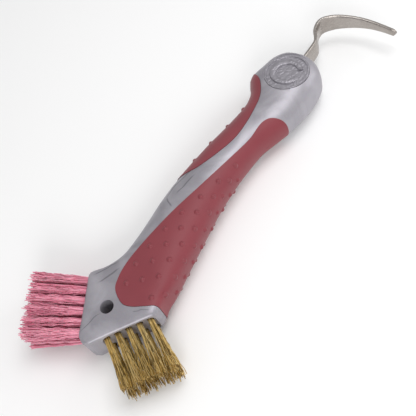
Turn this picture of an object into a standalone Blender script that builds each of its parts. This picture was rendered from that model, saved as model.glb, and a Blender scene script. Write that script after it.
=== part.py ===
"""Hoof pick with a two-sided brush head, lying on its side with the hook's bend in the ground plane.

Sizes are in millimetres, turned into metres by MM. The plan lies in X and Y, with X along the handle
towards the hook, and Z is the thickness. The handle is symmetric about Z = 0 in its own coordinates,
and an empty then lifts it so that the model stands on its lowest flat, centred over the origin.
"""
import math

import bmesh
import bpy
from mathutils import Vector

MM = 0.001
GAP = 0.3  # clearance between two pieces that touch

# Place of the model: centre of its bounding box in the plan, and depth of its lowest flat.
PLAN_CENTRE = (19.16, 9.99)
FLAT_SHARE = 0.98  # the crown of each section is flattened at this share of its half thickness
BASE_DEPTH = 11.27  # the domed round end is cut flat here, for the badge and for lying on
HEAD_HALF = 8.1

# Moulded handle: x, upper edge y, lower edge y, half thickness, squareness of the section.
STATIONS = [
    (-82.8, 8.4, 6.6, 7.2, 4.0),
    (-82.2, 9.9, 5.1, HEAD_HALF, 6.0),
    (-81.0, 11.4, 3.9, HEAD_HALF, 7.5),
    (-79.2, 12.6, 2.8, HEAD_HALF, 8.0),
    (-60.0, 25.1, -11.2, HEAD_HALF, 8.0),
    (-57.4, 26.8, -13.0, HEAD_HALF, 8.0),
    (-55.8, 27.5, -13.0, HEAD_HALF, 7.5),
    (-54.3, 27.2, -12.6, HEAD_HALF, 7.0),
    (-50.0, 23.7, -11.4, 8.4, 5.0),
    (-45.0, 20.9, -11.2, 8.8, 4.2),
    (-40.0, 19.6, -10.9, 9.3, 3.3),
    (-30.0, 19.5, -9.5, 9.8, 2.8),
    (-20.0, 20.3, -8.2, 10.1, 2.5),
    (-10.0, 21.0, -6.7, 10.2, 2.5),
    (0.0, 21.2, -5.4, 10.2, 2.4),
    (10.0, 20.5, -4.6, 10.1, 2.4),
    (20.0, 19.6, -4.5, 9.9, 2.3),
    (30.0, 18.4, -4.9, 9.7, 2.3),
    (40.0, 16.7, -6.0, 9.5, 2.3),
    (50.0, 15.2, -9.2, 9.6, 2.4),
    (56.0, 14.7, -11.3, 9.8, 2.4),
    (60.0, 15.0, -12.6, 10.1, 2.4),
    (65.0, 16.2, -13.2, 10.8, 2.5),
    (70.0, 19.5, -13.8, 11.8, 2.6),
    (72.5, 20.9, -13.9, 12.2, 2.6),
    (76.0, 21.1, -13.9, 12.6, 2.7),
    (82.0, 19.5, -13.5, 12.8, 2.7),
    (88.0, 17.9, -12.2, 12.5, 2.7),
    (92.2, 15.0, -8.9, 11.5, 2.7),
    (93.8, 12.2, -6.3, 10.3, 2.7),
    (95.2, 9.9, -3.6, 8.7, 2.7),
    (96.2, 7.9, -1.3, 7.2, 2.7),
    (96.8, 6.5, 0.4, 6.0, 2.7),
]
SECTION_POINTS = 24
STATION_STEP = 5.0
SMOOTH_ANGLE = 38.0  # edges sharper than this, in degrees, are shaded as creases
OVERSHOOT = 1.0  # how far a cutter reaches beyond the face it cuts

# Soft overmoulded panels: depth of the seat under the handle's surface, and height above it.
PANEL_DEPTH = 1.6
PANEL_PROUD = 0.35
PANEL_REACH = 17.5  # height of the prism that the panel is cut from, clear of the thickest section
MAIN_PANEL_EDGE = [
    (-52.6, -20.0), (-53.2, -12.0), (-55.6, -8.0), (-59.2, -2.0), (-59.9, 3.0), (-56.4, 9.4),
    (-51.6, 11.7), (-44.0, 12.6), (-32.6, 11.7), (-13.8, 8.5), (5.4, 4.3), (25.3, 0.7),
    (38.0, -1.4), (47.0, -1.9), (51.6, -3.6), (54.2, -7.0), (55.6, -12.0), (55.2, -20.0),
]
THUMB_PANEL_EDGE = [
    (4.0, 30.0), (4.6, 21.0), (10.5, 14.1), (15.4, 11.1), (24.7, 7.6), (34.5, 5.1), (44.2, 4.8),
    (53.8, 5.8), (63.2, 7.8), (70.4, 12.1), (74.2, 17.4), (76.4, 23.0), (76.8, 30.0),
]
CURVE_STEPS = 3  # sides for each stretch between two points of a smooth edge

# Raised grip dots, rounded towards the top.
DOT_RADIUS = 1.25
DOT_HEIGHT = 0.85
DOT_SINK = 0.5
DOT_SHOULDER = 0.1  # height where the straight foot ends
DOT_CROWN = (0.78, 0.72)  # radius and height of the crown's edge
DOT_CLEARANCE = 2.1  # least distance of a dot's middle from the panel's edge
DOT_LAST_MARGIN = 3.0  # free strip along the panel's far edge
DOT_SIDES = 6
DOT_PITCH = 9.3
DOT_STRETCH = 0.19  # growth of the pitch towards the hook
DOT_FIRST_X = -51.6
DOT_COLUMNS = 15  # half pitches along the panel
DOT_EDGE_MARGIN = 4.1
DOT_ROWS = 8
DOT_ROW_PITCH = 4.0  # distance between rows at x = 0
DOT_ROW_TAPER = 0.062  # the rows draw together towards the hook, down to the least pitch
DOT_ROW_LEAST = 3.6
DOT_LAG = 0.055  # each row falls back a little more from this x on, up to the limit
DOT_LAG_START = -42.0
DOT_LAG_LIMIT = 1.8
THUMB_DOT_FIRST_X = 18.0
THUMB_DOT_PITCH = 12.3
THUMB_DOT_COLUMNS = 4
THUMB_DOT_TURN = 0.42  # angle of each thumb row round the section from its upper edge, in radians

# Hang hole through the head.
HANG_HOLE = (-64.6, 7.9)
HANG_HOLE_RADIUS = 3.05
HANG_HOLE_CHAMFER = 0.5
HANG_HOLE_SIDES = 24

# Two brush beds: middle of the face, direction of the face, tuft layout and fan of the tufts.
ROW_HEIGHT = 3.8
BED_DEPTH = 0.8
BED_HALF_WIDTH = 6.1
BED_CORNER = 1.6
BED_CLEARANCE = 4.0  # height that the bed's cutter clears above the face
TUFT_HOLE_DEPTH = 4.3
ANCHOR_HEIGHT = 1.4
ANCHOR_THICKNESS = 0.5
TUFT_SIDES = 10
NYLON = {
    "first": (-79.0, 12.7), "face_angle": 33.1, "pitch": 5.0, "count": 6, "margin": 2.05,
    "fan": (120.0, 115.5), "length": 30.3, "root": 1.7, "tip": (2.65, 4.0), "lean": 0.6,
}
BRASS = {
    "first": (-75.7, 0.35), "face_angle": -36.3, "pitch": 5.1, "count": 5, "margin": 1.9,
    "fan": (241.0, 241.5), "length": 25.0, "root": 1.4, "tip": (2.45, 3.8), "lean": 0.5,
}

# Hook: one tapered strip of steel, bent in the plan, with its tang moulded into the bulb.
STRIP_THICKNESS = 1.9
STRIP_CHAMFER = 0.35
TANG = [(67.0, 2.85), (90.0, 2.85)]
HOOK_BEND = [
    (98.0, 2.85), (108.2, 2.9), (112.4, 4.5), (116.4, 7.2), (121.2, 8.6), (125.6, 7.9),
    (129.6, 3.3), (132.0, -2.6), (133.5, -9.6), (133.8, -16.8), (133.1, -24.0), (131.9, -31.2),
]
SHANK_WIDTH = 10.4
TIP_WIDTH = 3.6
TAPER_START = 0.42  # share of the strip's length that keeps the shank's width
TIP_ROUNDING = 0.975  # share of the length where the rounded tip begins
TIP_ROUNDNESS = 0.85  # 1 would bring the tip to a point
SLOT_END_X = 104.0  # the tang's slot is open towards the hook

# Round badge in the bulb, with a plain horseshoe in relief.
BADGE_CENTRE = (80.0, 2.1)
BADGE_RADIUS = 11.4
BADGE_THICKNESS = 1.6
BADGE_SIDES = 40
GROOVE_WIDTH = 1.1
GROOVE_DEPTH = 0.45
RELIEF_HEIGHT = 0.5
SHOE_OUTER = 7.2
SHOE_INNER = 4.5
SHOE_OPENING = 62.0  # angle of the shoe's open end, in degrees
SHOE_STEPS = 14


def clear_scene():
    for old in list(bpy.data.objects):
        bpy.data.objects.remove(old, do_unlink=True)


def make_material(name, colour, roughness, metallic):
    """A plain Principled material; the colour is linear RGB."""
    material = bpy.data.materials.new(name)
    material.use_nodes = True
    shader = material.node_tree.nodes["Principled BSDF"]
    shader.inputs["Base Color"].default_value = (*colour, 1.0)
    shader.inputs["Roughness"].default_value = roughness
    shader.inputs["Metallic"].default_value = metallic
    return material


def add_object(name, bm, material=None):
    """Turn a bmesh in millimetres into an object in metres under the model's empty."""
    bmesh.ops.recalc_face_normals(bm, faces=bm.faces)
    bmesh.ops.scale(bm, vec=(MM, MM, MM), verts=bm.verts)
    mesh = bpy.data.meshes.new(name)
    bm.to_mesh(mesh)
    bm.free()
    mesh.shade_smooth()
    mesh.set_sharp_from_angle(angle=math.radians(SMOOTH_ANGLE))
    thing = bpy.data.objects.new(name, mesh)
    bpy.context.scene.collection.objects.link(thing)
    thing.parent = model
    if material:
        mesh.materials.append(material)
    else:
        thing.hide_render = True
        thing.display_type = "WIRE"
    return thing


def boolean(thing, cutter, operation):
    step = thing.modifiers.new(f"{operation.lower()} {cutter.name}", "BOOLEAN")
    step.operation = operation
    step.solver = "EXACT"
    step.object = cutter


def loft(bm, rings):
    """Skin a closed body over rings that have the same number of points."""
    loops = [[bm.verts.new(point) for point in ring] for ring in rings]
    for near, far in zip(loops, loops[1:]):
        for i in range(len(near)):
            j = (i + 1) % len(near)
            bm.faces.new((near[i], near[j], far[j], far[i]))
    bm.faces.new(loops[0])
    bm.faces.new(loops[-1])


def extrude_outline(bm, outline, low, high):
    """A closed prism over a flat outline, from height low to height high."""
    face = bm.faces.new([bm.verts.new((x, y, low)) for x, y in outline])
    side = bmesh.ops.extrude_face_region(bm, geom=[face])
    top = [item for item in side["geom"] if isinstance(item, bmesh.types.BMVert)]
    bmesh.ops.translate(bm, vec=(0, 0, high - low), verts=top)


def smooth_path(points, steps):
    """Points along a Catmull-Rom curve through the given points, ends included."""
    path = []
    last = len(points) - 1
    for i in range(last):
        before, start = Vector(points[max(i - 1, 0)]), Vector(points[i])
        end, after = Vector(points[i + 1]), Vector(points[min(i + 2, last)])
        for k in range(steps):
            t = k / steps
            bend = (end - before) * 0.5 * (t - 2 * t * t + t ** 3)
            bend += (after - start) * 0.5 * (t ** 3 - t * t)
            path.append(start * (1 - 3 * t * t + 2 * t ** 3) + end * (3 * t * t - 2 * t ** 3) + bend)
    path.append(Vector(points[-1]))
    return path


def offset_outline(outline, distance):
    """Move each point of a clockwise or counter-clockwise outline outwards."""
    count = len(outline)
    area = sum(outline[i - 1].x * outline[i].y - outline[i].x * outline[i - 1].y for i in range(count))
    side = 1 if area > 0 else -1
    moved = []
    for i in range(count):
        along = (outline[(i + 1) % count] - outline[i - 1]).normalized()
        moved.append(outline[i] + Vector((along.y, -along.x)) * side * distance)
    return moved


def station(x):
    """Upper edge, lower edge, half thickness and squareness of the handle at x."""
    i = max(k for k in range(len(STATIONS) - 1) if STATIONS[k][0] <= x or k == 0)
    a, b = STATIONS[i], STATIONS[i + 1]
    before, after = STATIONS[max(i - 1, 0)], STATIONS[min(i + 2, len(STATIONS) - 1)]
    width = b[0] - a[0]
    t = (x - a[0]) / width
    values = []
    for k in range(1, 5):
        slope_a = (b[k] - before[k]) / (b[0] - before[0]) * width
        slope_b = (after[k] - a[k]) / (after[0] - a[0]) * width
        value = a[k] * (1 - 3 * t * t + 2 * t ** 3) + b[k] * (3 * t * t - 2 * t ** 3)
        values.append(value + slope_a * (t - 2 * t * t + t ** 3) + slope_b * (t ** 3 - t * t))
    return values


def section_point(x, angle, grow=0.0):
    """A point of the handle's section at x; the angle runs from the upper edge over the crown."""
    upper, lower, half, squareness = station(x)
    across, up = math.cos(angle), math.sin(angle)
    power = 2 / squareness
    y = (upper + lower) / 2 + ((upper - lower) / 2 + grow) * math.copysign(abs(across) ** power, across)
    z = min((half + grow) * abs(up) ** power, min(half * FLAT_SHARE, BASE_DEPTH) + grow)
    return Vector((x, y, math.copysign(z, up)))


def section(x, grow=0.0):
    return [section_point(x, math.tau * i / SECTION_POINTS, grow) for i in range(SECTION_POINTS)]


def handle_places():
    """Where the handle's sections stand: each station, and halfway points in the long stretches."""
    places = []
    for a, b in zip(STATIONS, STATIONS[1:]):
        parts = max(1, round((b[0] - a[0]) / STATION_STEP))
        places += [a[0] + (b[0] - a[0]) * k / parts for k in range(parts)]
    return places + [STATIONS[-1][0]]


def handle_loft(grow=0.0, start=STATIONS[0][0], stop=STATIONS[-1][0]):
    """The handle's outer shape, or a thicker or thinner copy of a stretch of it."""
    bm = bmesh.new()
    loft(bm, [section(x, grow) for x in handle_places() if start <= x <= stop])
    return bm


def surface_frame(x, angle, grow):
    """A point of the handle's surface and the outward direction there."""
    step = 0.02
    point = section_point(x, angle, grow)
    around = section_point(x, angle + step, grow) - section_point(x, angle - step, grow)
    along = section_point(x + 1, angle, grow) - section_point(x - 1, angle, grow)
    outward = along.cross(around).normalized()
    if outward.dot(point - Vector((x, sum(station(x)[:2]) / 2, 0))) < 0:
        outward.negate()
    return point, outward


def add_dot(bm, x, angle):
    """One small dome standing on the panel's surface."""
    point, outward = surface_frame(x, angle, PANEL_PROUD)
    side = outward.cross(Vector((1, 0, 0))).normalized()
    other = outward.cross(side)
    profile = [(DOT_RADIUS, -DOT_SINK), (DOT_RADIUS, DOT_SHOULDER), DOT_CROWN]
    rings = []
    for radius, height in profile:
        turns = [math.tau * i / DOT_SIDES for i in range(DOT_SIDES)]
        rings.append([
            point + outward * height + (side * math.cos(a) + other * math.sin(a)) * radius for a in turns
        ])
    loops = [[bm.verts.new(p) for p in ring] for ring in rings]
    top = bm.verts.new(point + outward * DOT_HEIGHT)
    for near, far in zip(loops, loops[1:]):
        for i in range(DOT_SIDES):
            j = (i + 1) % DOT_SIDES
            bm.faces.new((near[i], near[j], far[j], far[i]))
    bm.faces.new(loops[0])
    for i in range(DOT_SIDES):
        bm.faces.new((loops[-1][i], loops[-1][(i + 1) % DOT_SIDES], top))


def stands_on(point, edge):
    """Whether a dot at this point stands wholly on the panel, seen in the plan."""
    path = smooth_path(edge, CURVE_STEPS)
    crossings = 0
    for a, b in zip(path, path[1:] + path[:1]):
        if (a.y > point.y) != (b.y > point.y):
            crossings += point.x < a.x + (b.x - a.x) * (point.y - a.y) / (b.y - a.y)
    return crossings % 2 == 1 and min((spot - point.xy).length for spot in path) > DOT_CLEARANCE


def panel_edge_y(edge, x):
    """Height in the plan of a panel's long edge at x; the edge's own two ends lie past the handle."""
    path = smooth_path(edge[1:-1], CURVE_STEPS)
    for a, b in zip(path, path[1:]):
        if a.x <= x <= b.x:
            return a.y + (b.y - a.y) * (x - a.x) / (b.x - a.x)
    return None


def skin_turn(x, distance):
    """The angle that lies this far over the skin from the main panel's long edge, if a dot fits there."""
    edge = panel_edge_y(MAIN_PANEL_EDGE, x)
    turns = [math.radians(degrees) for degrees in range(0, 271)]
    skin = [(turn, section_point(x, turn)) for turn in turns]
    skin = [(turn, point) for turn, point in skin if point.y < edge]
    steps = [(b[1] - a[1]).length for a, b in zip(skin, skin[1:])]
    if distance < sum(steps) - DOT_LAST_MARGIN:
        for (turn, point), step in zip(skin[1:], steps):
            distance -= step
            if distance <= 0:
                return turn if stands_on(point, MAIN_PANEL_EDGE) else None
    return None


def main_dots():
    """Staggered rows that follow the panel's long edge and wrap round the handle's lower side."""
    bm = bmesh.new()
    for row in range(DOT_ROWS):
        for column in range(-(row % 2), DOT_COLUMNS, 2):
            pitches = column / 2
            x = DOT_FIRST_X + DOT_PITCH * pitches + DOT_STRETCH * pitches ** 2
            x -= row * min(DOT_LAG_LIMIT, max(0.0, DOT_LAG * (x - DOT_LAG_START)))
            spacing = max(DOT_ROW_LEAST, DOT_ROW_PITCH - DOT_ROW_TAPER * x)
            turn = skin_turn(x, DOT_EDGE_MARGIN + row * spacing)
            if turn is not None:
                add_dot(bm, x, turn)
    return add_object("main_dot_shapes", bm)


def thumb_dots():
    """Two short rows along the thumb panel's outer side."""
    bm = bmesh.new()
    for row, first in ((1, THUMB_DOT_FIRST_X), (-1, THUMB_DOT_FIRST_X + THUMB_DOT_PITCH / 2)):
        for i in range(THUMB_DOT_COLUMNS):
            add_dot(bm, first + THUMB_DOT_PITCH * i, row * THUMB_DOT_TURN)
    return add_object("thumb_dot_shapes", bm)


def make_panel(name, edge, dots):
    """An overmoulded panel and the cutter for its seat in the handle."""
    outline = smooth_path(edge, CURVE_STEPS)
    start = min(p.x for p in outline) - 2 * STATION_STEP
    stop = max(p.x for p in outline) + 2 * STATION_STEP

    bm = bmesh.new()
    extrude_outline(bm, outline, -PANEL_REACH, PANEL_REACH)
    panel = add_object(name, bm, soft_rubber)
    skin = add_object(f"{name}_skin", handle_loft(PANEL_PROUD, start, stop))
    core = add_object(f"{name}_core", handle_loft(-PANEL_DEPTH, start, stop))
    boolean(panel, skin, "INTERSECT")
    boolean(panel, core, "DIFFERENCE")
    boolean(panel, dots, "UNION")

    bm = bmesh.new()
    reach = PANEL_REACH + OVERSHOOT
    extrude_outline(bm, offset_outline(outline, GAP), -reach, reach)
    seat = add_object(f"{name}_seat", bm)
    core = add_object(f"{name}_seat_core", handle_loft(-PANEL_DEPTH - GAP, start, stop))
    boolean(seat, core, "DIFFERENCE")
    return seat


def tuft_frames(bed):
    """Where each tuft of a bed leaves the face: point, direction, and direction along the face."""
    slope = math.radians(bed["face_angle"])
    frames = []
    for row in (1, -1):
        for i in range(bed["count"]):
            share = i / (bed["count"] - 1)
            turn = math.radians(bed["fan"][0] + (bed["fan"][1] - bed["fan"][0]) * share)
            run = bed["pitch"] * i
            x = bed["first"][0] + run * math.cos(slope)
            y = bed["first"][1] + run * math.sin(slope)
            point = Vector((x, y, row * ROW_HEIGHT))
            out = Vector((math.cos(turn), math.sin(turn), 0))
            frames.append((point, out, Vector((-out.y, out.x, 0)), row))
    return frames


def oval(centre, side, half_side, half_height, points):
    turns = [math.tau * i / points for i in range(points)]
    up = Vector((0, 0, 1))
    return [centre + side * math.cos(a) * half_side + up * math.sin(a) * half_height for a in turns]


def make_tufts(kind, bed, material):
    """Each tuft as one closed solid that widens from its drilled hole to its cut tips."""
    root = -BED_DEPTH - TUFT_HOLE_DEPTH + GAP + ANCHOR_HEIGHT + GAP
    for number, (point, out, side, row) in enumerate(tuft_frames(bed), 1):
        rings = []
        for run, share in ((root, 0.0), (0.5, 0.0), (bed["length"] * 0.5, 0.55), (bed["length"], 1.0)):
            half_side = bed["root"] + (bed["tip"][0] - bed["root"]) * share
            half_height = bed["root"] + (bed["tip"][1] - bed["root"]) * share
            centre = point + out * run + Vector((0, 0, row * bed["lean"] * share))
            rings.append(oval(centre, side, half_side, half_height, TUFT_SIDES))
        bm = bmesh.new()
        loft(bm, rings)
        add_object(f"{kind}_tuft_{number:02d}", bm, material)


def make_anchors(kind, bed):
    """The flat staple that pins each folded tuft to the bottom of its hole."""
    bottom = -BED_DEPTH - TUFT_HOLE_DEPTH + GAP
    half_length = bed["root"] - 0.1
    for number, (point, out, side, _) in enumerate(tuft_frames(bed), 1):
        rings = []
        for run in (bottom, bottom + ANCHOR_HEIGHT):
            corners = [(-1, -1), (1, -1), (1, 1), (-1, 1)]
            thick = ANCHOR_THICKNESS / 2
            rings.append([
                point + out * run + side * half_length * a + Vector((0, 0, thick * b)) for a, b in corners
            ])
        bm = bmesh.new()
        loft(bm, rings)
        add_object(f"{kind}_anchor_{number:02d}", bm, anchor_steel)


def tuft_hole_cutter(kind, bed):
    bm = bmesh.new()
    radius = bed["root"] + GAP
    for point, out, side, _ in tuft_frames(bed):
        runs = (-BED_DEPTH - TUFT_HOLE_DEPTH, BED_DEPTH)
        loft(bm, [oval(point + out * run, side, radius, radius, TUFT_SIDES) for run in runs])
    return add_object(f"{kind}_tuft_holes", bm)


def bed_cutter(kind, bed):
    """The shallow recess that the tufts stand in, with rounded corners."""
    slope = math.radians(bed["face_angle"])
    along = Vector((math.cos(slope), math.sin(slope), 0))
    face_out = Vector((0, 0, 1)).cross(along) * (1 if kind == "nylon" else -1)
    run = bed["pitch"] * (bed["count"] - 1)
    middle = Vector((*bed["first"], 0)) + along * run / 2
    half_length = run / 2 + bed["margin"]
    outline = []
    for quarter, (x_side, z_side) in enumerate(((1, 1), (-1, 1), (-1, -1), (1, -1))):
        for k in range(4):
            turn = math.pi / 2 * (quarter + k / 3)
            x = x_side * (half_length - BED_CORNER) + BED_CORNER * math.cos(turn)
            z = z_side * (BED_HALF_WIDTH - BED_CORNER) + BED_CORNER * math.sin(turn)
            outline.append(along * x + Vector((0, 0, z)))
    bm = bmesh.new()
    loft(bm, [[middle + face_out * run + p for p in outline] for run in (-BED_DEPTH, BED_CLEARANCE)])
    return add_object(f"{kind}_bed_recess", bm)


def hang_hole_cutter():
    bm = bmesh.new()
    face = HEAD_HALF * FLAT_SHARE
    inner, outer = face - HANG_HOLE_CHAMFER, face + OVERSHOOT
    flare = HANG_HOLE_RADIUS + HANG_HOLE_CHAMFER + OVERSHOOT
    profile = [(-outer, flare), (-inner, HANG_HOLE_RADIUS), (inner, HANG_HOLE_RADIUS), (outer, flare)]
    rings = []
    for z, radius in profile:
        centre = Vector((*HANG_HOLE, z))
        ring = [math.tau * i / HANG_HOLE_SIDES for i in range(HANG_HOLE_SIDES)]
        rings.append([centre + Vector((radius * math.cos(a), radius * math.sin(a), 0)) for a in ring])
    loft(bm, rings)
    return add_object("hang_hole_shape", bm)


def strip_rings(path, grow=0.0, end=1.0):
    """Sections of the steel strip along its path; its width tapers towards the tip."""
    lengths = [0.0]
    for a, b in zip(path, path[1:]):
        lengths.append(lengths[-1] + (b - a).length)
    rings = []
    for i, point in enumerate(path):
        share = lengths[i] / lengths[-1] * end
        taper = max(0.0, (share - TAPER_START) / (1 - TAPER_START))
        width = SHANK_WIDTH + (TIP_WIDTH - SHANK_WIDTH) * taper * taper * (3 - 2 * taper)
        if share > TIP_ROUNDING:
            rounding = (share - TIP_ROUNDING) / (1 - TIP_ROUNDING) * TIP_ROUNDNESS
            width *= math.sqrt(max(0.0, 1 - rounding ** 2))
        along = (path[min(i + 1, len(path) - 1)] - path[max(i - 1, 0)]).normalized()
        side = Vector((-along.y, along.x, 0))
        w, t, c = width / 2 + grow, STRIP_THICKNESS / 2 + grow, STRIP_CHAMFER
        corners = [(t - c, w), (t, w - c), (t, c - w), (t - c, -w)]
        corners += [(-a, b) for a, b in reversed(corners)]
        rings.append([Vector((point.x, point.y, 0)) + side * a + Vector((0, 0, b)) for a, b in corners])
    return rings


def make_hook():
    """The bent strip, and the slot that its tang fills in the bulb."""
    path = [Vector(p) for p in TANG] + smooth_path(HOOK_BEND, CURVE_STEPS)
    near_tip = path[-2].lerp(path[-1], 0.6)
    path.insert(-1, near_tip)
    bm = bmesh.new()
    loft(bm, strip_rings(path))
    add_object("steel_hook", bm, hook_steel)

    bm = bmesh.new()
    start, stop = Vector((TANG[0][0] - GAP, TANG[0][1])), Vector((SLOT_END_X, TANG[0][1]))
    loft(bm, strip_rings([start, stop], GAP, TAPER_START))
    return add_object("tang_slot", bm)


def disc(bm, radius, low, high):
    turns = [math.tau * i / BADGE_SIDES for i in range(BADGE_SIDES)]
    outline = [(radius * math.cos(a), radius * math.sin(a)) for a in turns]
    extrude_outline(bm, [(BADGE_CENTRE[0] + x, BADGE_CENTRE[1] + y) for x, y in outline], low, high)


def make_badge():
    """The round badge with its horseshoe, and the stepped recess that it sits in."""
    crown = BASE_DEPTH
    bm = bmesh.new()
    disc(bm, BADGE_RADIUS, crown - BADGE_THICKNESS, crown)
    badge = add_object("horseshoe_badge", bm, badge_alloy)

    bm = bmesh.new()
    opening = math.radians(SHOE_OPENING)
    first = -math.pi / 2 + opening / 2
    turns = [first + (math.tau - opening) * i / SHOE_STEPS for i in range(SHOE_STEPS + 1)]
    outline = [(SHOE_OUTER * math.cos(a), SHOE_OUTER * math.sin(a)) for a in turns]
    outline += [(SHOE_INNER * math.cos(a), SHOE_INNER * math.sin(a)) for a in reversed(turns)]
    outline = [(BADGE_CENTRE[0] + x, BADGE_CENTRE[1] + y) for x, y in outline]
    extrude_outline(bm, outline, crown - BADGE_THICKNESS / 2, crown + RELIEF_HEIGHT)
    boolean(badge, add_object("horseshoe_shape", bm), "UNION")

    bm = bmesh.new()
    disc(bm, BADGE_RADIUS + GAP, crown - BADGE_THICKNESS - GAP, crown + OVERSHOOT)
    recess = add_object("badge_recess", bm)
    bm = bmesh.new()
    disc(bm, BADGE_RADIUS + GAP + GROOVE_WIDTH, crown - GROOVE_DEPTH, crown + 2 * OVERSHOOT)
    return recess, add_object("badge_groove", bm)


clear_scene()
model = bpy.data.objects.new("hoof_pick", None)
model.location = (-PLAN_CENTRE[0] * MM, -PLAN_CENTRE[1] * MM, BASE_DEPTH * MM)
bpy.context.scene.collection.objects.link(model)

silver_plastic = make_material("silver_plastic", (0.34, 0.32, 0.35), 0.38, 0.35)
soft_rubber = make_material("wine_red_rubber", (0.27, 0.065, 0.08), 0.6, 0.0)
pink_nylon = make_material("pink_nylon", (0.68, 0.2, 0.32), 0.45, 0.0)
brass_wire = make_material("brass_wire", (0.45, 0.31, 0.1), 0.35, 1.0)
hook_steel = make_material("hook_steel", (0.42, 0.39, 0.36), 0.32, 1.0)
anchor_steel = make_material("anchor_steel", (0.4, 0.4, 0.4), 0.4, 1.0)
badge_alloy = make_material("badge_alloy", (0.36, 0.34, 0.36), 0.35, 0.6)

handle = add_object("handle_body", handle_loft(), silver_plastic)
cutters = [make_panel("main_grip", MAIN_PANEL_EDGE, main_dots())]
cutters.append(make_panel("thumb_grip", THUMB_PANEL_EDGE, thumb_dots()))
cutters.append(hang_hole_cutter())
cutters.append(make_hook())
cutters.extend(make_badge())
for kind, bed, material in (("nylon", NYLON, pink_nylon), ("brass", BRASS, brass_wire)):
    make_tufts(kind, bed, material)
    make_anchors(kind, bed)
    cutters.append(bed_cutter(kind, bed))
    cutters.append(tuft_hole_cutter(kind, bed))
for cutter in cutters:
    boolean(handle, cutter, "DIFFERENCE")
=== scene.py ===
import math
import random

import bmesh
import bpy
from mathutils import Matrix, Vector


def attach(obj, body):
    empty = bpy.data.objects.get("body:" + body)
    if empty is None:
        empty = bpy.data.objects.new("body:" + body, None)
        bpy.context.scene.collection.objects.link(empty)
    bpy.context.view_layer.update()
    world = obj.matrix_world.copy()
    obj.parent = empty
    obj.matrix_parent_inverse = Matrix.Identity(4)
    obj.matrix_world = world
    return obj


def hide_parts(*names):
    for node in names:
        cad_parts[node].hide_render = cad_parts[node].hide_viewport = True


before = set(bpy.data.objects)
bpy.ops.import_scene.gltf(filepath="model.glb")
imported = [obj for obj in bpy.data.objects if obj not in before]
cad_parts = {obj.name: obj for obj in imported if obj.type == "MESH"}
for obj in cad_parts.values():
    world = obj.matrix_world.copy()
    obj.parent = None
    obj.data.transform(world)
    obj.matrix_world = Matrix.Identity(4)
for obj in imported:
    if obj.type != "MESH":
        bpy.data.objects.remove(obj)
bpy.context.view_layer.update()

# --- Moulded handle -------------------------------------------------------------------------------
# The handle is one injection moulding in ABS with silver pigment. It holds everything else: the soft
# panels lie in its seats, the hook's tang is moulded into the round end, and the wedge-shaped head
# has drilled faces for the bristles and a hole to hang the tool by.
MM = 0.001
PLAN_CENTRE = (19.16, 9.99)
MID_HEIGHT = 11.27
middle_of_plan = Vector((-PLAN_CENTRE[0] * MM, -PLAN_CENTRE[1] * MM, MID_HEIGHT * MM))
to_frame = Matrix.Translation(middle_of_plan) @ Matrix.Scale(MM, 4)

# x, upper edge y, lower edge y, half thickness, squareness of the section
HANDLE_STATIONS = [
    (-82.8, 8.4, 6.6, 7.2, 4.0), (-82.2, 9.9, 5.1, 8.1, 6.0), (-81.0, 11.4, 3.9, 8.1, 7.5),
    (-79.2, 12.6, 2.8, 8.1, 8.0), (-60.0, 25.1, -11.2, 8.1, 8.0), (-57.4, 26.8, -13.0, 8.1, 8.0),
    (-55.8, 27.5, -13.0, 8.1, 7.5), (-54.3, 27.2, -12.6, 8.1, 7.0),
    (-50.0, 23.7, -11.4, 8.4, 5.0), (-45.0, 20.9, -11.2, 8.8, 4.2), (-40.0, 19.6, -10.9, 9.3, 3.3),
    (-30.0, 19.5, -9.5, 9.8, 2.8), (-20.0, 20.3, -8.2, 10.1, 2.5), (-10.0, 21.0, -6.7, 10.2, 2.5),
    (0.0, 21.2, -5.4, 10.2, 2.4), (10.0, 20.5, -4.6, 10.1, 2.4), (20.0, 19.6, -4.5, 9.9, 2.3),
    (30.0, 18.4, -4.9, 9.7, 2.3), (40.0, 16.7, -6.0, 9.5, 2.3), (50.0, 15.2, -9.2, 9.6, 2.4),
    (56.0, 14.7, -11.3, 9.8, 2.4), (60.0, 15.0, -12.6, 10.1, 2.4), (65.0, 16.2, -13.2, 10.8, 2.5),
    (70.0, 19.5, -13.8, 11.8, 2.6), (72.5, 20.9, -13.9, 12.2, 2.6), (76.0, 21.1, -13.9, 12.6, 2.7),
    (82.0, 19.5, -13.5, 12.8, 2.7), (88.0, 17.9, -12.2, 12.5, 2.7), (92.2, 15.0, -8.9, 11.5, 2.7),
    (93.8, 12.2, -6.3, 10.3, 2.7), (95.2, 9.9, -3.6, 8.7, 2.7), (96.2, 7.9, -1.3, 7.2, 2.7),
    (96.8, 6.5, 0.4, 6.0, 2.7),
]
CROWN_SHARE = 0.98
HANDLE_SIDES = 96
HANDLE_RINGS = 130
HANG_HOLE = (-64.6, 7.9)
HANG_HOLE_RADIUS = 3.05
HOLE_EDGE_BREAK = 0.15
HOLE_OVERRUN = 1.5  # how far the hole's cutter stands out of both faces
HEAD_HALF = 8.1 * CROWN_SHARE
CROWN = MID_HEIGHT  # the domed round end is cut flat at this height, for the badge


def hermite(a, b, slope_a, slope_b, t):
    value = a * (1 - 3 * t * t + 2 * t ** 3) + b * (3 * t * t - 2 * t ** 3)
    return value + slope_a * (t - 2 * t * t + t ** 3) + slope_b * (t ** 3 - t * t)


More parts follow.
